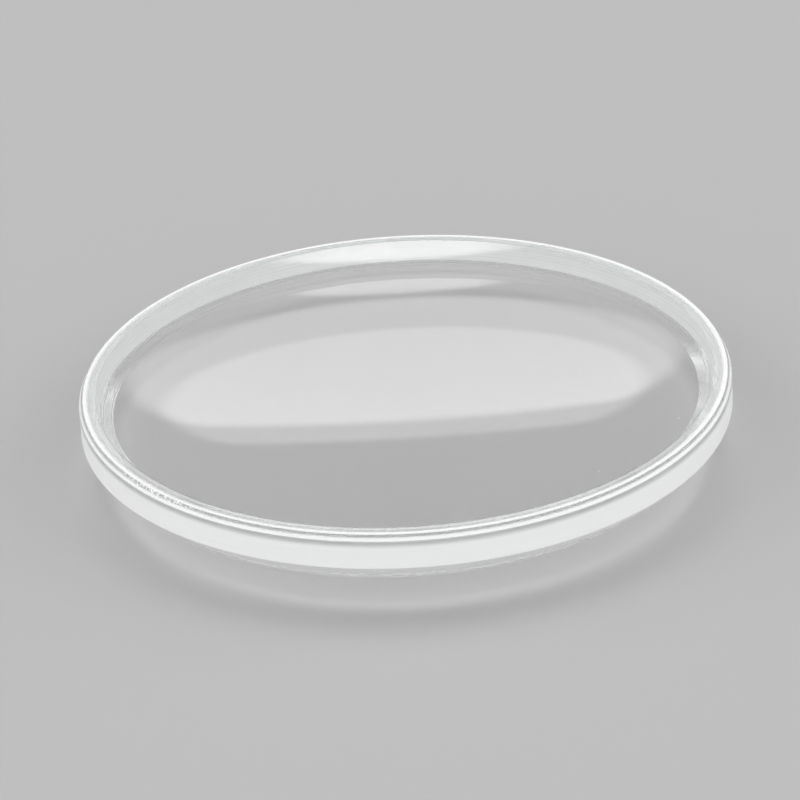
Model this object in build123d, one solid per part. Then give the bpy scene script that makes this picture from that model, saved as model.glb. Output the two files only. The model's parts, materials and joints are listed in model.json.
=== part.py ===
from build123d import *

import math
import os

# A double domed watch crystal, one piece of clear mineral glass.
# It lies as it would on a bench: on the crown of its outer dome, hollow side up.
# Lengths are millimetres.  The origin is the dome's lowest point, +Z is the axis of the crystal.

# Driving dimensions
diameter = 31.5               # over the ground edge, the size that the case is bored for
ground_edge_height = 1.36     # the matt cylinder that the gasket grips
dome_radius = 80.0            # outer sphere, the face that the wearer sees
bowl_radius = 80.0            # inner sphere, the face over the dial
seat_width = 0.65             # flat ring round the bowl, which rests on the case's ledge
seat_chamfer_width = 0.17     # between the flat ring and the ground edge
seat_chamfer_height = 0.31
ground_bevel_width = 0.72     # outer part of the front bevel, left as it was ground
ground_bevel_height = 0.68
polished_bevel_width = 0.58   # inner part of the front bevel, polished with the dome
polished_bevel_height = 0.50

# Sizes that follow
edge_radius = diameter / 2
bevel_break_radius = edge_radius - ground_bevel_width
dome_rim_radius = bevel_break_radius - polished_bevel_width
seat_outer_radius = edge_radius - seat_chamfer_width
bowl_rim_radius = seat_outer_radius - seat_width


def cap_height(sphere_radius, rim_radius):
    """Height of a spherical cap, from its crown to the plane of its rim."""
    return sphere_radius - math.sqrt(sphere_radius**2 - rim_radius**2)


def crystal_section():
    """Half section in the XZ plane: dome, front bevel, ground edge, chamfer, flat seat and bowl."""
    dome_rim_z = cap_height(dome_radius, dome_rim_radius)
    bevel_break_z = dome_rim_z + polished_bevel_height
    edge_low_z = bevel_break_z + ground_bevel_height
    edge_high_z = edge_low_z + ground_edge_height
    seat_z = edge_high_z + seat_chamfer_height
    bowl_crown_z = seat_z - cap_height(bowl_radius, bowl_rim_radius)

    dome_rim = (dome_rim_radius, dome_rim_z)
    seat_inner = (bowl_rim_radius, seat_z)
    with BuildSketch(Plane.XZ) as section:
        with BuildLine():
            TangentArc((0, 0), dome_rim, tangent=(1, 0))
            Polyline(
                dome_rim,
                (bevel_break_radius, bevel_break_z),
                (edge_radius, edge_low_z),
                (edge_radius, edge_high_z),
                (seat_outer_radius, seat_z),
                seat_inner,
            )
            TangentArc((0, bowl_crown_z), seat_inner, tangent=(1, 0))
            Line((0, bowl_crown_z), (0, 0))
        make_face()
    return section.sketch


def make_crystal():
    """The crystal: its half section turned once round the axis."""
    return revolve(crystal_section(), axis=Axis.Z)


parts = {"crystal": make_crystal()}

os.makedirs("parts", exist_ok=True)
for name, shape in parts.items():
    export_step(shape, "parts/" + name + ".step")
    box = shape.bounding_box()
    print(name, "volume", round(shape.volume, 2), "mm3", "height", round(box.max.Z - box.min.Z, 3), "mm")
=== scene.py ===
"""A double domed watch crystal, lying on the crown of its outer dome with the hollow side up.

One piece of clear mineral glass: two polished spheres, a buffed and a ground front bevel, a matt ground
edge, and a small chamfer round the flat seat.  Lengths are metres, +Z is the axis of the crystal.
"""

import json
import math

import bpy
import numpy as np
from mathutils import Matrix, Vector


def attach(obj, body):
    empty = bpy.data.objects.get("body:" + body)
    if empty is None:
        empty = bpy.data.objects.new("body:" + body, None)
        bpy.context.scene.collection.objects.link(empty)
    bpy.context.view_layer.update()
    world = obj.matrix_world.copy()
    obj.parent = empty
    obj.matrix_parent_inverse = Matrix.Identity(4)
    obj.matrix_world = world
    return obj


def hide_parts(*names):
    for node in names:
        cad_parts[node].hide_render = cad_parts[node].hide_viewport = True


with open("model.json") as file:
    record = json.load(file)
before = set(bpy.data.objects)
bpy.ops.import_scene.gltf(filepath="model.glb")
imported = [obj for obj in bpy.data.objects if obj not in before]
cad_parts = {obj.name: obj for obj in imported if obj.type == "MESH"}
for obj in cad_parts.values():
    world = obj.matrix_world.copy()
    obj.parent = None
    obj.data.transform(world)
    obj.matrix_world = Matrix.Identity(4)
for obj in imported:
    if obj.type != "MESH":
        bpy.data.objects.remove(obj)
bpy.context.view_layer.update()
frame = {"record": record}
scene = bpy.context.scene

MM = 0.001

# The crystal's half section, as the part has it
DOME_RADIUS = 80.0 * MM              # outer sphere
BOWL_RADIUS = 80.0 * MM              # inner sphere
SEAT_WIDTH = 0.65 * MM               # flat ring round the bowl
SEAT_CHAMFER_WIDTH = 0.17 * MM
SEAT_CHAMFER_HEIGHT = 0.31 * MM
GROUND_BEVEL_WIDTH = 0.72 * MM       # outer part of the front bevel, left as ground
GROUND_BEVEL_HEIGHT = 0.68 * MM
POLISHED_BEVEL_WIDTH = 0.58 * MM     # inner part of the front bevel, buffed to a polish
BROKEN_CORNER = 0.035 * MM           # how far along each face a polisher takes a corner down

# Mesh counts
SEGMENTS = 720                       # round the axis
SPHERE_RINGS = 22                    # on each sphere
EDGE_RINGS = 6                       # on each straight face of the edge
CORNER_RINGS = 5                     # round each corner

# The photograph's view, in degrees, metres and lens units
VIEW_ELEVATION = 27.45
VIEW_ROLL = 3.47
VIEW_DISTANCE = 204.75 * MM
LENS = 190.95
SENSOR = 36.0
SHIFT_X = -0.006
SHIFT_Y = -0.0245

# A Mix node's sockets go by number, because their names repeat
FACTOR, NUMBER_A, NUMBER_B, COLOUR_A, COLOUR_B = 0, 2, 3, 6, 7
NUMBER_OUT, COLOUR_OUT = 0, 2


def from_record(name):
    """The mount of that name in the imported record."""
    return next(mount for mount in frame["record"]["mounts"] if mount["name"] == name)


def linear(hex_colour):
    """sRGB hex to the linear colour that a socket takes."""
    values = [int(hex_colour[i:i + 2], 16) / 255 for i in (1, 3, 5)]
    return [v / 12.92 if v <= 0.04045 else ((v + 0.055) / 1.055) ** 2.4 for v in values] + [1.0]


def add(tree, kind, inputs=None, links=None, **settings):
    """A node of that kind, with its settings, its socket values and its incoming links."""
    node = tree.nodes.new(kind)
    for name, value in settings.items():
        setattr(node, name, value)
    for socket, value in (inputs or {}).items():
        node.inputs[socket].default_value = value
    for socket, source in (links or {}).items():
        tree.links.new(source, node.inputs[socket])
    return node


def set_ramp(ramp, stops):
    """The stops of a colour ramp, as (place, colour) in rising order.  A number stands for a linear grey."""
    elements = ramp.color_ramp.elements
    for place, _ in stops[1:-1]:
        elements.new(place)
    for element, (place, colour) in zip(elements, stops):
        element.position = place
        element.color = colour if isinstance(colour, list) else (colour, colour, colour, 1.0)


def new_material(name):
    """A material of that name, and its node tree, which is still empty."""
    material = bpy.data.materials.new(name)
    material.use_nodes = True
    tree = material.node_tree
    tree.nodes.clear()
    return material, tree


# The section

EDGE_RADIUS = from_record("ground_edge")["dims"]["r_mm"] * MM
GROUND_EDGE_HEIGHT = from_record("ground_edge")["dims"]["length_mm"] * MM
SEAT_HEIGHT = from_record("seat")["pos_m"][2]
WALL_TOP = SEAT_HEIGHT - SEAT_CHAMFER_HEIGHT


def cap_height(sphere_radius, rim_radius):
    """Height of a spherical cap: the radius less its leg over the rim."""
    return sphere_radius - math.sqrt(sphere_radius ** 2 - rim_radius ** 2)


def section_corners():
    """The corners of the half section, as (radius, height), from the dome's rim round to the bowl's rim."""
    wall_bottom = WALL_TOP - GROUND_EDGE_HEIGHT
    break_radius = EDGE_RADIUS - GROUND_BEVEL_WIDTH
    dome_rim = break_radius - POLISHED_BEVEL_WIDTH
    seat_outer = EDGE_RADIUS - SEAT_CHAMFER_WIDTH
    return np.array([
        (dome_rim, cap_height(DOME_RADIUS, dome_rim)),
        (break_radius, wall_bottom - GROUND_BEVEL_HEIGHT),
        (EDGE_RADIUS, wall_bottom),
        (EDGE_RADIUS, WALL_TOP),
        (seat_outer, SEAT_HEIGHT),
        (seat_outer - SEAT_WIDTH, SEAT_HEIGHT),
    ])


def sphere_arc(radius, rim, centre_height, rings):
    """Points and outward normals on a sphere below its centre, at even angles from the axis to the rim."""
    angle = np.linspace(0, math.asin(rim / radius), rings)
    normal = np.column_stack([np.sin(angle), -np.cos(angle)])
    return normal * radius + [0, centre_height], normal


def half_section():
    """The section from the dome's crown round the edge to the bowl's crown: points, normals and face codes.

    Each face is a run of points that share its normal, and each corner is an arc that turns from one
    face's normal to the next, tangent to both.  Face codes: 0 dome, 1 polished bevel, 2 ground bevel,
    3 ground edge, 4 seat chamfer, 5 seat, 6 bowl.
    """
    corners = section_corners()
    dome, dome_normal = sphere_arc(DOME_RADIUS, corners[0][0], DOME_RADIUS, SPHERE_RINGS)
    bowl_rim, seat_height = corners[-1]
    bowl_crown = seat_height - cap_height(BOWL_RADIUS, bowl_rim)
    bowl, bowl_outward = sphere_arc(BOWL_RADIUS, bowl_rim, bowl_crown + BOWL_RADIUS, SPHERE_RINGS)
    bowl, bowl_normal = bowl[::-1], -bowl_outward[::-1]

    run = np.diff(corners, axis=0)
    run /= np.linalg.norm(run, axis=1)[:, None]
    run_normal = np.column_stack([run[:, 1], -run[:, 0]])
    normals = np.vstack([dome_normal[-1], run_normal, bowl_normal[0]])

    points, point_normals, codes = [dome[:-1]], [dome_normal[:-1]], [np.zeros(SPHERE_RINGS - 1, int)]
    for i, corner in enumerate(corners):
        before, after = normals[i], normals[i + 1]
        turn = math.acos(float(np.clip(before @ after, -1, 1)))
        radius = BROKEN_CORNER / math.tan(turn / 2)
        centre = corner - radius * (before + after) / (1 + before @ after)
        angle = np.linspace(0, turn, CORNER_RINGS)[:, None]
        arc_normal = (np.sin(turn - angle) * before + np.sin(angle) * after) / math.sin(turn)
        points.append(centre + radius * arc_normal)
        point_normals.append(arc_normal)
        codes.append(np.full(CORNER_RINGS, i))
        if i + 1 < len(corners):
            start, end = corner + BROKEN_CORNER * run[i], corners[i + 1] - BROKEN_CORNER * run[i]
            share = np.linspace(0, 1, EDGE_RINGS + 1)[1:-1, None]
            points.append(start + share * (end - start))
            point_normals.append(np.repeat(after[None], EDGE_RINGS - 1, axis=0))
            codes.append(np.full(EDGE_RINGS - 1, i + 1))
    points.append(bowl[1:])
    point_normals.append(bowl_normal[1:])
    codes.append(np.full(SPHERE_RINGS - 1, len(corners)))
    return np.vstack(points), np.vstack(point_normals), np.concatenate(codes)


def turned_mesh(name, section, section_normals):
    """The section turned round +Z: point (r, z) goes to (r cos a, r sin a, z), at SEGMENTS even angles a.

    The first and last points of the section lie on the axis and become one vertex each, closed by triangles.
    """
    angle = np.arange(SEGMENTS) * (2 * math.pi / SEGMENTS)
    around = np.column_stack([np.cos(angle), np.sin(angle)])
    rings, ring_normals = section[1:-1], section_normals[1:-1]
    side = rings[:, None, 0, None] * around[None]
    height = np.repeat(rings[:, 1, None], SEGMENTS, axis=1)[..., None]
    body = np.concatenate([side, height], axis=2).reshape(-1, 3)
    normal_side = ring_normals[:, None, 0, None] * around[None]
    normal_height = np.repeat(ring_normals[:, 1, None], SEGMENTS, axis=1)[..., None]
    body_normals = np.concatenate([normal_side, normal_height], axis=2).reshape(-1, 3)
    points = np.vstack([body, [(0, 0, section[0, 1])], [(0, 0, section[-1, 1])]])
    normals = np.vstack([body_normals, [(0, 0, -1)], [(0, 0, 1)]])

    here = np.arange(SEGMENTS)
    there = (here + 1) % SEGMENTS
    first = np.arange(len(rings) - 1)[:, None] * SEGMENTS
    above = first + SEGMENTS
    quads = np.stack([first + here, first + there, above + there, above + here], axis=2)
    low_pole, high_pole = len(body), len(body) + 1
    last = (len(rings) - 1) * SEGMENTS
    low = np.column_stack([np.full(SEGMENTS, low_pole), there, here])
    high = np.column_stack([np.full(SEGMENTS, high_pole), last + here, last + there])

    mesh = bpy.data.meshes.new(name)
    faces = quads.reshape(-1, 4).tolist() + low.tolist() + high.tolist()
    mesh.from_pydata(points.tolist(), [], faces)
    mesh.polygons.foreach_set("use_smooth", np.ones(len(mesh.polygons), bool))
    mesh.normals_split_custom_set_from_vertices(normals.tolist())
    return mesh


# The finishes.  Clearness is how much of the light goes through, and the rest is scattered at the surface.

GLASS_IOR = 1.52                     # mineral glass
NOISE_LOW, NOISE_HIGH = 0.30, 0.70   # nearly all of a noise lies between these

# Left by the wheel and the lap
RISE_WITH_RADIUS = 0.6               # counted as height, so that a flat face has rings too
RING_LENGTH = 120.0 * MM             # a lap's rings run all the way round
STREAK_LENGTH = 6.0 * MM             # the grinding wheel runs round the edge, so its marks lie along it
STREAK_HEIGHT = 0.08 * MM            # finer on the real one, drawn coarser so that they show
GRIT_SIZE = 0.09 * MM                # the wheel leaves pits of 0.03 mm, drawn coarser so that they show
PIT_DEPTH = 0.01 * MM

# Polished
WIPE_SIZE = 6.0 * MM                 # the cloth's streaks
WIPE_STARTS, WIPE_FULL = 0.45, 0.70  # where in its noise the film begins and is full
WIPE_ROUGHNESS = 0.008
SPECK_SPACING = 1.7 * MM             # dust that a blower leaves behind
SPECK_RADIUS = 0.035 * MM
SPECK_FADE = 1.3                     # times its radius, where a speck has gone
SPECK_ROUGHNESS = 0.5
SPECK_CLEARNESS = 0.35
DUSTY_SHARE = 0.38                   # of the places where a speck could lie

# Buffed
BUFFED_RING = 0.10 * MM              # between the buff's rings, drawn coarser so that they show
BUFFED_LOW, BUFFED_HIGH = 0.38, 0.62
BUFFED_SMOOTHEST, BUFFED_ROUGHEST = 0.05, 0.30

# Ground
LIP_DEPTH = 0.36 * MM                # how far down from the chamfer the ground edge is a little clearer, and greyed there as painted shade
LIP_CLEARNESS = 0.4
GROUND_PIT_SHARE = 0.4               # of the marks, the rest are streaks
GROUND_SMOOTHEST, GROUND_ROUGHEST = 0.48, 0.66
GROUND_CLEAREST, GROUND_DULLEST = 0.10, 0.02
GROUND_BUMP = 0.35

# Ground in steps
STEP_HEIGHT = 0.16 * MM              # the bevel is ground in steps, each one a fine line round it
LINE_STARTS, LINE_FULL = 0.34, 0.50  # how far from the middle of its step a line begins and is full
LINE_TONE = -0.55
STEP_PIT_SHARE = 0.3
STEP_DARKEST_MARK = 0.55
STEP_SMOOTHEST, STEP_ROUGHEST = 0.40, 0.58
STEP_CLEAREST, STEP_DULLEST = 0.14, 0.02
STEP_BUMP = 0.3

# Lapped
RING_HEIGHT = 0.12 * MM              # between the lap's rings, drawn coarser so that they show
# How dull the seat and its chamfer are, by the share of the way out from the bowl's rim to the ground edge.
# # Where it is left clear the colour turns grey, which paints dark lines of shade at the corners and towards
# the bowl's rim
LAPPED_DULLNESS_AND_SHADE = [
    (0.0, 0.10), (0.46, 0.18), (0.56, 0.90), (0.72, 0.90),    # the seat
    (0.785, 0.0), (0.84, 0.0),                                # the corner between them
    (0.89, 0.95), (0.96, 0.95), (1.0, 0.0),                   # the chamfer
]
LAPPED_PIT_SHARE = 0.04
RING_LOW, RING_HIGH = 0.35, 0.65
RING_DULLNESS = 0.3                  # how much a ring adds or takes away
SCUFF_PLACE = (-11.7 * MM, -10.2 * MM, 4.0 * MM)    # where the seat was held
SCUFF_REACH = 3.6 * MM
SCUFF_CORE = 0.4 * SCUFF_REACH       # within this it is as strong as it gets
SCUFF_STARTS, SCUFF_FULL = 0.30, 0.55    # by the same share of the way out
NICK_SIZE = 0.12 * MM                # the real ones are half that, drawn coarser so that they show
NICK_STARTS, NICK_FULL = 0.46, 0.66  # where in its noise a nick begins and is full
NICK_DULLNESS = 0.8
LAPPED_SMOOTHEST, LAPPED_ROUGHEST = 0.06, 0.36
LAPPED_CLEAREST, LAPPED_DULLEST = 0.96, 0.06
LAPPED_WHITE = 0.6                   # how dull it is where its grey, a painted shade, has gone white


def round_the_axis(tree, length, height):
    """Noise drawn out round the axis: about length long, and height high up the edge or wide across it.

    The point (x, y, z) is taken to (x / length, y / length, (z + 0.6 r) / height), where r is its distance
    from the axis and 0.6 is RISE_WITH_RADIUS.
    """
    point = add(tree, "ShaderNodeTexCoord").outputs["Object"]
    parts = add(tree, "ShaderNodeSeparateXYZ", links={0: point})
    flat = add(tree, "ShaderNodeVectorMath", {1: (1.0, 1.0, 0.0)}, {0: point}, operation="MULTIPLY")
    radius = add(tree, "ShaderNodeVectorMath", links={0: flat.outputs[0]}, operation="LENGTH")
    risen = add(tree, "ShaderNodeMath", {1: RISE_WITH_RADIUS},
                {0: radius.outputs["Value"], 2: parts.outputs["Z"]}, operation="MULTIPLY_ADD")
    up = add(tree, "ShaderNodeMath", {1: 1 / height}, {0: risen.outputs[0]}, operation="MULTIPLY")
    east = add(tree, "ShaderNodeMath", {1: 1 / length}, {0: parts.outputs["X"]}, operation="MULTIPLY")
    north = add(tree, "ShaderNodeMath", {1: 1 / length}, {0: parts.outputs["Y"]}, operation="MULTIPLY")
    vector = add(tree, "ShaderNodeCombineXYZ",
                 links={"X": east.outputs[0], "Y": north.outputs[0], "Z": up.outputs[0]})
    return add(tree, "ShaderNodeTexNoise", {"Scale": 1.0, "Detail": 1.0, "Roughness": 0.4},
               {"Vector": vector.outputs[0]})


def polished_mineral_glass():
    """Mineral glass, lapped and polished: water clear, with sharp reflections and a lens's bend.

    A wipe leaves a film too thin to see but for a slight softness, and a few specks of dust lie on it.
    """
    material, tree = new_material("polished_mineral_glass")
    point = add(tree, "ShaderNodeTexCoord").outputs["Object"]
    wipe = add(tree, "ShaderNodeTexNoise", {"Scale": 1 / WIPE_SIZE, "Detail": 4.0, "Roughness": 0.55},
               {"Vector": point})
    film = add(tree, "ShaderNodeMapRange", {
        "From Min": WIPE_STARTS,
        "From Max": WIPE_FULL,
        "To Min": 0.0,
        "To Max": WIPE_ROUGHNESS,
    }, {"Value": wipe.outputs["Fac"]})
    cells = add(tree, "ShaderNodeTexVoronoi", {"Scale": 1 / SPECK_SPACING}, {"Vector": point})
    speck = add(tree, "ShaderNodeMapRange", {
        "From Min": SPECK_RADIUS / SPECK_SPACING,
        "From Max": SPECK_FADE * SPECK_RADIUS / SPECK_SPACING,
        "To Min": 1.0,
        "To Max": 0.0,
    }, {"Value": cells.outputs["Distance"]})
    picked = add(tree, "ShaderNodeMath", {1: 1 - DUSTY_SHARE}, {0: cells.outputs["Color"]},
                 operation="GREATER_THAN")
    dust = add(tree, "ShaderNodeMath", links={0: speck.outputs[0], 1: picked.outputs[0]},
               operation="MULTIPLY")
    dull = add(tree, "ShaderNodeMath", {1: SPECK_ROUGHNESS}, {0: dust.outputs[0]}, operation="MULTIPLY")
    roughness = add(tree, "ShaderNodeMath", links={0: film.outputs[0], 1: dull.outputs[0]},
                    operation="MAXIMUM")
    clear = add(tree, "ShaderNodeMapRange", {"To Min": 1.0, "To Max": SPECK_CLEARNESS},
                {"Value": dust.outputs[0]})
    shader = add(tree, "ShaderNodeBsdfPrincipled", {
        "Base Color": linear("#FFFFFF"),
        "IOR": GLASS_IOR,
    }, {
        "Roughness": roughness.outputs[0],
        "Transmission Weight": clear.outputs[0],
    })
    add(tree, "ShaderNodeOutputMaterial", links={"Surface": shader.outputs["BSDF"]})
    return material


def buffed_mineral_glass():
    """Mineral glass buffed on the inner front bevel: clear, with faint rings that draw reflections out."""
    material, tree = new_material("buffed_mineral_glass")
    rings = round_the_axis(tree, RING_LENGTH, BUFFED_RING)
    roughness = add(tree, "ShaderNodeMapRange", {
        "From Min": BUFFED_LOW,
        "From Max": BUFFED_HIGH,
        "To Min": BUFFED_SMOOTHEST,
        "To Max": BUFFED_ROUGHEST,
    }, {"Value": rings.outputs["Fac"]})
    shader = add(tree, "ShaderNodeBsdfPrincipled", {
        "Base Color": linear("#FFFFFF"),
        "IOR": GLASS_IOR,
        "Transmission Weight": 1.0,
    }, {
        "Roughness": roughness.outputs[0],
    })
    add(tree, "ShaderNodeOutputMaterial", links={"Surface": shader.outputs["BSDF"]})
    return material


def ground_mineral_glass():
    """Mineral glass as a diamond wheel leaves it: satin white, drawn out in faint lines round the edge.

    The pits scatter most of the light at the surface and let the rest through, blurred.  They thin out
    towards the chamfer, whose lap has taken them down.  There the colour is also greyed, as painted shade
    just under the top of the edge.
    """
    material, tree = new_material("ground_mineral_glass")
    point = add(tree, "ShaderNodeTexCoord").outputs["Object"]
    streaks = round_the_axis(tree, STREAK_LENGTH, STREAK_HEIGHT)
    pits = add(tree, "ShaderNodeTexNoise", {"Scale": 1 / GRIT_SIZE, "Detail": 3.0, "Roughness": 0.55},
               {"Vector": point})
    mixed = add(tree, "ShaderNodeMix", {FACTOR: GROUND_PIT_SHARE},
                {NUMBER_A: streaks.outputs["Fac"], NUMBER_B: pits.outputs["Fac"]}, data_type="FLOAT")
    marks = add(tree, "ShaderNodeMapRange", {"From Min": NOISE_LOW, "From Max": NOISE_HIGH},
                {"Value": mixed.outputs[NUMBER_OUT]})
    colour = add(tree, "ShaderNodeValToRGB", links={"Fac": marks.outputs[0]})
    set_ramp(colour, [(0.0, linear("#FBFCFC")), (1.0, linear("#FFFFFF"))])
    height = add(tree, "ShaderNodeSeparateXYZ", links={0: point})
    clear_and_shaded_lip = add(tree, "ShaderNodeMapRange", {"From Min": WALL_TOP - LIP_DEPTH, "From Max": WALL_TOP},
              {"Value": height.outputs["Z"]}, interpolation_type="SMOOTHSTEP")
    # Painted shade: the colour greys towards the top of the ground edge, for the shade just under the chamfer
    painted_shade_under_top = add(tree, "ShaderNodeMix", {COLOUR_B: linear("#C2C5C5")},
                 {FACTOR: clear_and_shaded_lip.outputs[0], COLOUR_A: colour.outputs["Color"]}, data_type="RGBA")
    roughness = add(tree, "ShaderNodeMapRange", {
        "From Min": NOISE_LOW,
        "From Max": NOISE_HIGH,
        "To Min": GROUND_SMOOTHEST,
        "To Max": GROUND_ROUGHEST,
    }, {"Value": pits.outputs["Fac"]})
    thin = add(tree, "ShaderNodeMapRange", {"To Min": GROUND_CLEAREST, "To Max": GROUND_DULLEST},
               {"Value": marks.outputs[0]})
    clear = add(tree, "ShaderNodeMath", {1: LIP_CLEARNESS}, {0: clear_and_shaded_lip.outputs[0], 2: thin.outputs[0]},
                operation="MULTIPLY_ADD")
    bump = add(tree, "ShaderNodeBump", {"Strength": GROUND_BUMP, "Distance": PIT_DEPTH},
               {"Height": mixed.outputs[NUMBER_OUT]})
    shader = add(tree, "ShaderNodeBsdfPrincipled", {"IOR": GLASS_IOR}, {
        "Base Color": painted_shade_under_top.outputs[COLOUR_OUT],
        "Roughness": roughness.outputs[0],
        "Transmission Weight": clear.outputs[0],
        "Normal": bump.outputs["Normal"],
    })
    add(tree, "ShaderNodeOutputMaterial", links={"Surface": shader.outputs["BSDF"]})
    return material


def step_ground_mineral_glass():
    """Mineral glass ground in small steps on the front bevel: a shade greyer, with fine lines round it."""
    material, tree = new_material("step_ground_mineral_glass")
    point = add(tree, "ShaderNodeTexCoord").outputs["Object"]
    height = add(tree, "ShaderNodeSeparateXYZ", links={0: point})
    phase = add(tree, "ShaderNodeMath", {1: 1 / STEP_HEIGHT}, {0: height.outputs["Z"]}, operation="MULTIPLY")
    step = add(tree, "ShaderNodeMath", links={0: phase.outputs[0]}, operation="FRACT")
    middle = add(tree, "ShaderNodeMath", {1: 0.5}, {0: step.outputs[0]}, operation="SUBTRACT")
    off_middle = add(tree, "ShaderNodeMath", links={0: middle.outputs[0]}, operation="ABSOLUTE")
    line = add(tree, "ShaderNodeMapRange", {"From Min": LINE_STARTS, "From Max": LINE_FULL},
               {"Value": off_middle.outputs[0]})
    streaks = round_the_axis(tree, STREAK_LENGTH, STREAK_HEIGHT)
    pits = add(tree, "ShaderNodeTexNoise", {"Scale": 1 / GRIT_SIZE, "Detail": 3.0, "Roughness": 0.55},
               {"Vector": point})
    mixed = add(tree, "ShaderNodeMix", {FACTOR: STEP_PIT_SHARE},
                {NUMBER_A: streaks.outputs["Fac"], NUMBER_B: pits.outputs["Fac"]}, data_type="FLOAT")
    marks = add(tree, "ShaderNodeMapRange", {
        "From Min": NOISE_LOW,
        "From Max": NOISE_HIGH,
        "To Min": STEP_DARKEST_MARK,
    }, {"Value": mixed.outputs[NUMBER_OUT]})
    tone = add(tree, "ShaderNodeMath", {1: LINE_TONE}, {0: line.outputs[0], 2: marks.outputs[0]},
               operation="MULTIPLY_ADD")
    colour = add(tree, "ShaderNodeValToRGB", links={"Fac": tone.outputs[0]})
    set_ramp(colour, [(0.0, linear("#EEF0F0")), (1.0, linear("#FFFFFF"))])
    roughness = add(tree, "ShaderNodeMapRange", {
        "From Min": NOISE_LOW,
        "From Max": NOISE_HIGH,
        "To Min": STEP_SMOOTHEST,
        "To Max": STEP_ROUGHEST,
    }, {"Value": pits.outputs["Fac"]})
    clear = add(tree, "ShaderNodeMapRange", {"To Min": STEP_CLEAREST, "To Max": STEP_DULLEST},
                {"Value": tone.outputs[0]})
    bump = add(tree, "ShaderNodeBump", {"Strength": STEP_BUMP, "Distance": PIT_DEPTH},
               {"Height": tone.outputs[0]})
    shader = add(tree, "ShaderNodeBsdfPrincipled", {"IOR": GLASS_IOR}, {
        "Base Color": colour.outputs["Color"],
        "Roughness": roughness.outputs[0],
        "Transmission Weight": clear.outputs[0],
        "Normal": bump.outputs["Normal"],
    })
    add(tree, "ShaderNodeOutputMaterial", links={"Surface": shader.outputs["BSDF"]})
    return material


def lapped_mineral_glass():
    """Mineral glass lapped on the seat and its chamfer: nearly clear, with fine rings that run round the rim.

    The lap has left the outer part of the seat and the middle of the chamfer dull, and each corner clear.
    Where it is clear its colour is grey, which paints thin dark lines of shade at the corners.
    Small nicks speckle a short length of it where it was held.
    """
    material, tree = new_material("lapped_mineral_glass")
    point = add(tree, "ShaderNodeTexCoord").outputs["Object"]
    flat = add(tree, "ShaderNodeVectorMath", {1: (1.0, 1.0, 0.0)}, {0: point}, operation="MULTIPLY")
    radius = add(tree, "ShaderNodeVectorMath", links={0: flat.outputs[0]}, operation="LENGTH")
    across = add(tree, "ShaderNodeMapRange", {
        "From Min": EDGE_RADIUS - SEAT_CHAMFER_WIDTH - SEAT_WIDTH,
        "From Max": EDGE_RADIUS,
    }, {"Value": radius.outputs["Value"]})
    dullness_and_painted_lines = add(tree, "ShaderNodeValToRGB", links={"Fac": across.outputs[0]})
    set_ramp(dullness_and_painted_lines, LAPPED_DULLNESS_AND_SHADE)
    rings = round_the_axis(tree, RING_LENGTH, RING_HEIGHT)
    pits = add(tree, "ShaderNodeTexNoise", {"Scale": 1 / GRIT_SIZE, "Detail": 2.0, "Roughness": 0.55},
               {"Vector": point})
    mixed = add(tree, "ShaderNodeMix", {FACTOR: LAPPED_PIT_SHARE},
                {NUMBER_A: rings.outputs["Fac"], NUMBER_B: pits.outputs["Fac"]}, data_type="FLOAT")
    lines = add(tree, "ShaderNodeMapRange", {
        "From Min": RING_LOW,
        "From Max": RING_HIGH,
        "To Min": -RING_DULLNESS,
        "To Max": RING_DULLNESS,
    }, {"Value": mixed.outputs[NUMBER_OUT]})
    lapped = add(tree, "ShaderNodeMath", links={0: dullness_and_painted_lines.outputs["Color"], 1: lines.outputs[0]},
                 operation="ADD", use_clamp=True)
    off_scuff = add(tree, "ShaderNodeVectorMath", {1: SCUFF_PLACE}, {0: point}, operation="DISTANCE")
    near_scuff = add(tree, "ShaderNodeMapRange", {
        "From Min": SCUFF_CORE,
        "From Max": SCUFF_REACH,
        "To Min": 1.0,
        "To Max": 0.0,
    }, {"Value": off_scuff.outputs["Value"]}, interpolation_type="SMOOTHSTEP")
    nicks = add(tree, "ShaderNodeTexNoise", {"Scale": 1 / NICK_SIZE, "Detail": 1.0, "Roughness": 0.5},
                {"Vector": point})
    nicked = add(tree, "ShaderNodeMapRange", {
        "From Min": NICK_STARTS,
        "From Max": NICK_FULL,
        "To Max": NICK_DULLNESS,
    }, {"Value": nicks.outputs["Fac"]})
    outer = add(tree, "ShaderNodeMapRange", {"From Min": SCUFF_STARTS, "From Max": SCUFF_FULL},
                {"Value": across.outputs[0]})
    held = add(tree, "ShaderNodeMath", links={0: near_scuff.outputs[0], 1: outer.outputs[0]},
               operation="MULTIPLY")
    scuff = add(tree, "ShaderNodeMath", links={0: held.outputs[0], 1: nicked.outputs[0]},
                operation="MULTIPLY")
    dull = add(tree, "ShaderNodeMath", links={0: lapped.outputs[0], 1: scuff.outputs[0]},
               operation="MAXIMUM")
    roughness = add(tree, "ShaderNodeMapRange", {"To Min": LAPPED_SMOOTHEST, "To Max": LAPPED_ROUGHEST},
                    {"Value": dull.outputs[0]})
    clear = add(tree, "ShaderNodeMapRange", {"To Min": LAPPED_CLEAREST, "To Max": LAPPED_DULLEST},
                {"Value": dull.outputs[0]})
    # Painted shade: the clear parts are greyed, so the corners and the seat's inner part show as dark lines
    colour = add(tree, "ShaderNodeValToRGB", links={"Fac": dull.outputs[0]})
    set_ramp(colour, [(0.0, linear("#C4C8C8")), (LAPPED_WHITE, linear("#FFFFFF"))])
    shader = add(tree, "ShaderNodeBsdfPrincipled", {"IOR": GLASS_IOR}, {
        "Base Color": colour.outputs["Color"],
        "Roughness": roughness.outputs[0],
        "Transmission Weight": clear.outputs[0],
    })
    add(tree, "ShaderNodeOutputMaterial", links={"Surface": shader.outputs["BSDF"]})
    return material


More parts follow.
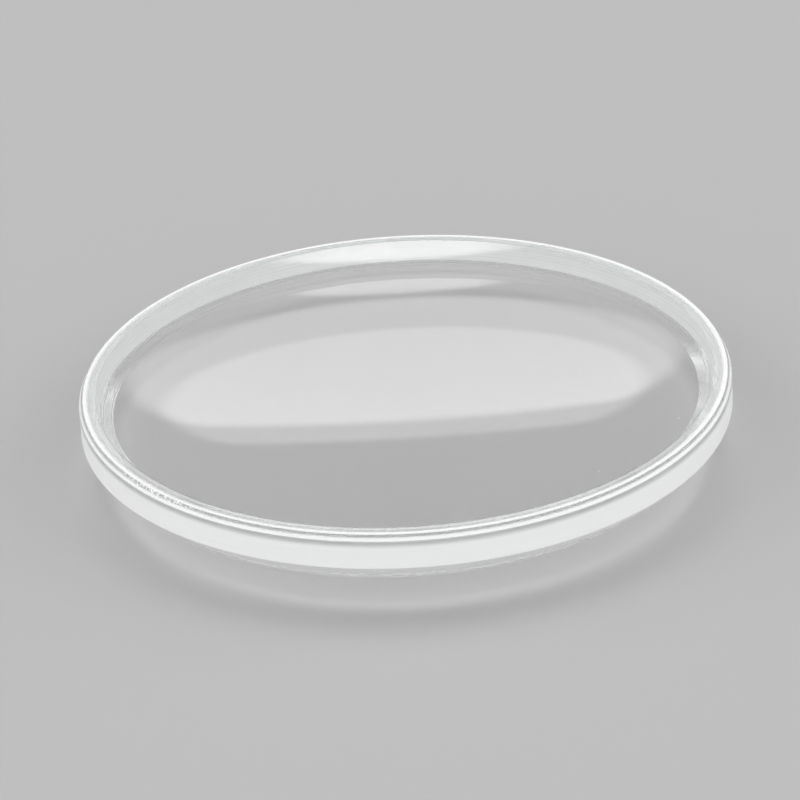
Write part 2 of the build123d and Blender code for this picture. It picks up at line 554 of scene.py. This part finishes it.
def pale_card():
    """Plain pale card under the crystal, so matt that only its own colour shows."""
    material, tree = new_material("pale_card")
    shader = add(tree, "ShaderNodeBsdfPrincipled", {
        "Base Color": linear("#BABABA"),
        "Roughness": 0.9,
        "Specular IOR Level": 0.2,
    })
    add(tree, "ShaderNodeOutputMaterial", links={"Surface": shader.outputs["BSDF"]})
    return material


# The crystal

FINISHES = (polished_mineral_glass, ground_mineral_glass, step_ground_mineral_glass, lapped_mineral_glass,
            buffed_mineral_glass)
# The finish of each face of the section, in the order of its face codes
FACE_FINISHES = (polished_mineral_glass, buffed_mineral_glass, step_ground_mineral_glass,
                 ground_mineral_glass, lapped_mineral_glass, lapped_mineral_glass, polished_mineral_glass)

section, section_normals, face_codes = half_section()
crystal_mesh = turned_mesh("double_domed_crystal", section, section_normals)
crystal = bpy.data.objects.new("double_domed_crystal", crystal_mesh)
scene.collection.objects.link(crystal)
for finish in FINISHES:
    crystal_mesh.materials.append(finish())

slot_of_face = np.array([FINISHES.index(finish) for finish in FACE_FINISHES], np.int32)
between = np.maximum(face_codes[1:-2], face_codes[2:-1])
slots = np.zeros(len(crystal_mesh.polygons), np.int32)     # the triangles at both poles stay polished
slots[:len(between) * SEGMENTS] = np.repeat(slot_of_face[between], SEGMENTS)
crystal_mesh.polygons.foreach_set("material_index", slots)

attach(crystal, "root")
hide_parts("crystal")


# The stage

FLOOR_REACH = 3.0                    # each way

floor_mesh = bpy.data.meshes.new("floor")
floor_mesh.from_pydata([
    (-FLOOR_REACH, -FLOOR_REACH, 0),
    (FLOOR_REACH, -FLOOR_REACH, 0),
    (FLOOR_REACH, FLOOR_REACH, 0),
    (-FLOOR_REACH, FLOOR_REACH, 0),
], [], [(0, 1, 2, 3)])
floor_mesh.materials.append(pale_card())
floor = bpy.data.objects.new("floor", floor_mesh)
scene.collection.objects.link(floor)


# The light: a room that is bright in front and at the sides and dim behind, with a soft lamp overhead.
# Behind the crystal a strip lamp hangs above a window with a round head and a sill that drops to the sides.
# Both are set out on an upright plane one unit behind it, by how far sideways and how high they are there.

WALL_LIGHT = 1.55
# How bright the walls and the ceiling are, by the sine of how high they stand
WALL_SHADE = [(0.0, 0.50), (0.18, 0.66), (0.42, 1.0), (0.60, 0.90), (0.85, 0.40)]
BACK_LIGHT = 0.36
BACK_STARTS, BACK_FULL = 0.35, 0.80  # how far a ray goes backwards where the dim side begins and is full
BACKDROP_LIGHT = 0.52                # as the camera sees it beyond the floor
KEY_LIGHT = 2.4
KEY_ELEVATION = 68.0
KEY_INNER, KEY_OUTER = 11.0, 22.0    # degrees off its middle where the lamp begins to fade and has gone
LEAST_BEHIND = 0.05                  # a ray that goes forwards counts as this far back, and so as far out
WINDOW_LIGHT = 1.85
WINDOW_SILL = 0.465                  # height of the sill at its middle
SILL_SAG = 4.0                       # how much the sill drops to the sides, per square of the way out
WINDOW_CENTRE = 0.6285               # height of the centre of the round head
WINDOW_HALF_WIDTH = 0.115
WINDOW_HALF_HEIGHT = 0.2275
HEAD_INNER, HEAD_OUTER = 0.9, 1.1    # of the oval, where the head begins to fade and has gone
STRIP_LIGHT = 3.9
STRIP_CENTRE = 1.085
STRIP_HALF_WIDTH = 0.085
STRIP_HALF_HEIGHT = 0.085
STRIP_SIDE_FADE = 0.035
SOFT_EDGE = 0.014                    # to either side of the sill and of the strip's long sides


def room_light(tree, ray, way):
    """The light of the walls, by how high they stand, dimmed behind, and of the round lamp overhead."""
    shade = add(tree, "ShaderNodeValToRGB", links={"Fac": way.outputs["Z"]})
    set_ramp(shade, WALL_SHADE)
    walls = add(tree, "ShaderNodeMath", {1: WALL_LIGHT}, {0: shade.outputs["Color"]}, operation="MULTIPLY")
    rear = add(tree, "ShaderNodeMapRange", {"From Min": BACK_STARTS, "From Max": BACK_FULL},
               {"Value": way.outputs["Y"]}, interpolation_type="SMOOTHSTEP")
    room = add(tree, "ShaderNodeMix", {NUMBER_B: BACK_LIGHT},
               {FACTOR: rear.outputs[0], NUMBER_A: walls.outputs[0]}, data_type="FLOAT")
    key_rise = math.radians(KEY_ELEVATION)
    facing = add(tree, "ShaderNodeVectorMath", {1: (0.0, math.cos(key_rise), math.sin(key_rise))}, {0: ray},
                 operation="DOT_PRODUCT")
    key = add(tree, "ShaderNodeMapRange", {
        "From Min": math.cos(math.radians(KEY_OUTER)),
        "From Max": math.cos(math.radians(KEY_INNER)),
    }, {"Value": facing.outputs["Value"]}, interpolation_type="SMOOTHSTEP")
    with_key = add(tree, "ShaderNodeMix", {NUMBER_B: KEY_LIGHT},
                   {FACTOR: key.outputs[0], NUMBER_A: room.outputs[NUMBER_OUT]}, data_type="FLOAT")
    return with_key.outputs[NUMBER_OUT]


def window_shape(tree, out, height):
    """1 inside the window and 0 outside it: above its sill, and inside the oval of its head.

    The oval is (sideways / half width) squared plus (height above its centre / half height) squared.
    out is the square of sideways.
    """
    above_sill = add(tree, "ShaderNodeMath", {1: SILL_SAG}, {0: out.outputs[0], 2: height.outputs[0]},
                     operation="MULTIPLY_ADD")
    sill = add(tree, "ShaderNodeMapRange", {
        "From Min": WINDOW_SILL - SOFT_EDGE,
        "From Max": WINDOW_SILL + SOFT_EDGE,
    }, {"Value": above_sill.outputs[0]}, interpolation_type="SMOOTHSTEP")
    wide = add(tree, "ShaderNodeMath", {1: 1 / WINDOW_HALF_WIDTH ** 2}, {0: out.outputs[0]},
               operation="MULTIPLY")
    rise = add(tree, "ShaderNodeMath", {1: WINDOW_CENTRE}, {0: height.outputs[0]}, operation="SUBTRACT")
    rise_squared = add(tree, "ShaderNodeMath", links={0: rise.outputs[0], 1: rise.outputs[0]},
                       operation="MULTIPLY")
    oval = add(tree, "ShaderNodeMath", {1: 1 / WINDOW_HALF_HEIGHT ** 2},
               {0: rise_squared.outputs[0], 2: wide.outputs[0]}, operation="MULTIPLY_ADD")
    head = add(tree, "ShaderNodeMapRange", {
        "From Min": HEAD_INNER,
        "From Max": HEAD_OUTER,
        "To Min": 1.0,
        "To Max": 0.0,
    }, {"Value": oval.outputs[0]}, interpolation_type="SMOOTHSTEP")
    window = add(tree, "ShaderNodeMath", links={0: sill.outputs[0], 1: head.outputs[0]},
                 operation="MULTIPLY")
    return window.outputs[0]


def strip_shape(tree, sideways, height):
    """1 inside the strip lamp and 0 outside it, with softer ends than long sides."""
    off_side = add(tree, "ShaderNodeMath", links={0: sideways.outputs[0]}, operation="ABSOLUTE")
    within_side = add(tree, "ShaderNodeMapRange", {
        "From Min": STRIP_HALF_WIDTH - STRIP_SIDE_FADE,
        "From Max": STRIP_HALF_WIDTH + STRIP_SIDE_FADE,
        "To Min": 1.0,
        "To Max": 0.0,
    }, {"Value": off_side.outputs[0]}, interpolation_type="SMOOTHSTEP")
    rise = add(tree, "ShaderNodeMath", {1: STRIP_CENTRE}, {0: height.outputs[0]}, operation="SUBTRACT")
    off_height = add(tree, "ShaderNodeMath", links={0: rise.outputs[0]}, operation="ABSOLUTE")
    within_height = add(tree, "ShaderNodeMapRange", {
        "From Min": STRIP_HALF_HEIGHT - SOFT_EDGE,
        "From Max": STRIP_HALF_HEIGHT + SOFT_EDGE,
        "To Min": 1.0,
        "To Max": 0.0,
    }, {"Value": off_height.outputs[0]}, interpolation_type="SMOOTHSTEP")
    strip = add(tree, "ShaderNodeMath", links={0: within_side.outputs[0], 1: within_height.outputs[0]},
                operation="MULTIPLY")
    return strip.outputs[0]


def studio_world():
    """The room, the lamps and the window, worked out from the way that each ray goes."""
    world = bpy.data.worlds.new("studio")
    world.use_nodes = True
    tree = world.node_tree
    tree.nodes.clear()
    ray = add(tree, "ShaderNodeTexCoord").outputs["Generated"]
    way = add(tree, "ShaderNodeSeparateXYZ", links={0: ray})
    room = room_light(tree, ray, way)

    behind = add(tree, "ShaderNodeMath", {1: LEAST_BEHIND}, {0: way.outputs["Y"]}, operation="MAXIMUM")
    sideways = add(tree, "ShaderNodeMath", links={0: way.outputs["X"], 1: behind.outputs[0]},
                   operation="DIVIDE")
    height = add(tree, "ShaderNodeMath", links={0: way.outputs["Z"], 1: behind.outputs[0]},
                 operation="DIVIDE")
    out = add(tree, "ShaderNodeMath", links={0: sideways.outputs[0], 1: sideways.outputs[0]},
              operation="MULTIPLY")
    with_window = add(tree, "ShaderNodeMix", {NUMBER_B: WINDOW_LIGHT},
                      {FACTOR: window_shape(tree, out, height), NUMBER_A: room}, data_type="FLOAT")
    with_strip = add(tree, "ShaderNodeMix", {NUMBER_B: STRIP_LIGHT},
                     {FACTOR: strip_shape(tree, sideways, height),
                      NUMBER_A: with_window.outputs[NUMBER_OUT]}, data_type="FLOAT")

    path = add(tree, "ShaderNodeLightPath")
    seen = add(tree, "ShaderNodeMix", {NUMBER_B: BACKDROP_LIGHT},
               {FACTOR: path.outputs["Is Camera Ray"], NUMBER_A: with_strip.outputs[NUMBER_OUT]},
               data_type="FLOAT")
    sky = add(tree, "ShaderNodeBackground", {"Color": linear("#FFFFFF")},
              {"Strength": seen.outputs[NUMBER_OUT]})
    add(tree, "ShaderNodeOutputWorld", links={"Surface": sky.outputs["Background"]})
    return world


scene.world = studio_world()


# The camera, which looks at the axis, level with the top of the ground edge

camera_data = bpy.data.cameras.new("camera")
camera_data.lens, camera_data.sensor_width = LENS, SENSOR
camera_data.shift_x, camera_data.shift_y = SHIFT_X, SHIFT_Y
camera_data.clip_start, camera_data.clip_end = 0.01, 20.0
camera = bpy.data.objects.new("camera", camera_data)
elevation = math.radians(VIEW_ELEVATION)
camera_way = Vector((0, -math.cos(elevation), math.sin(elevation)))
camera_place = camera_way * VIEW_DISTANCE + Vector((0, 0, WALL_TOP))
camera.matrix_world = (Matrix.Translation(camera_place) @ Matrix.Rotation(math.pi / 2 - elevation, 4, "X")
                       @ Matrix.Rotation(-math.radians(VIEW_ROLL), 4, "Z"))
scene.collection.objects.link(camera)
scene.camera = camera

scene.view_settings.view_transform = "Standard"

# A ray goes to and fro many times inside the edge before it leaves.  With the filter on blurred gloss, what
# the matt faces send back through the glass is lost, and the far side turns grey.
scene.cycles.max_bounces = 48
scene.cycles.transmission_bounces = 48
scene.cycles.glossy_bounces = 32
scene.cycles.diffuse_bounces = 24
scene.cycles.blur_glossy = 0.0
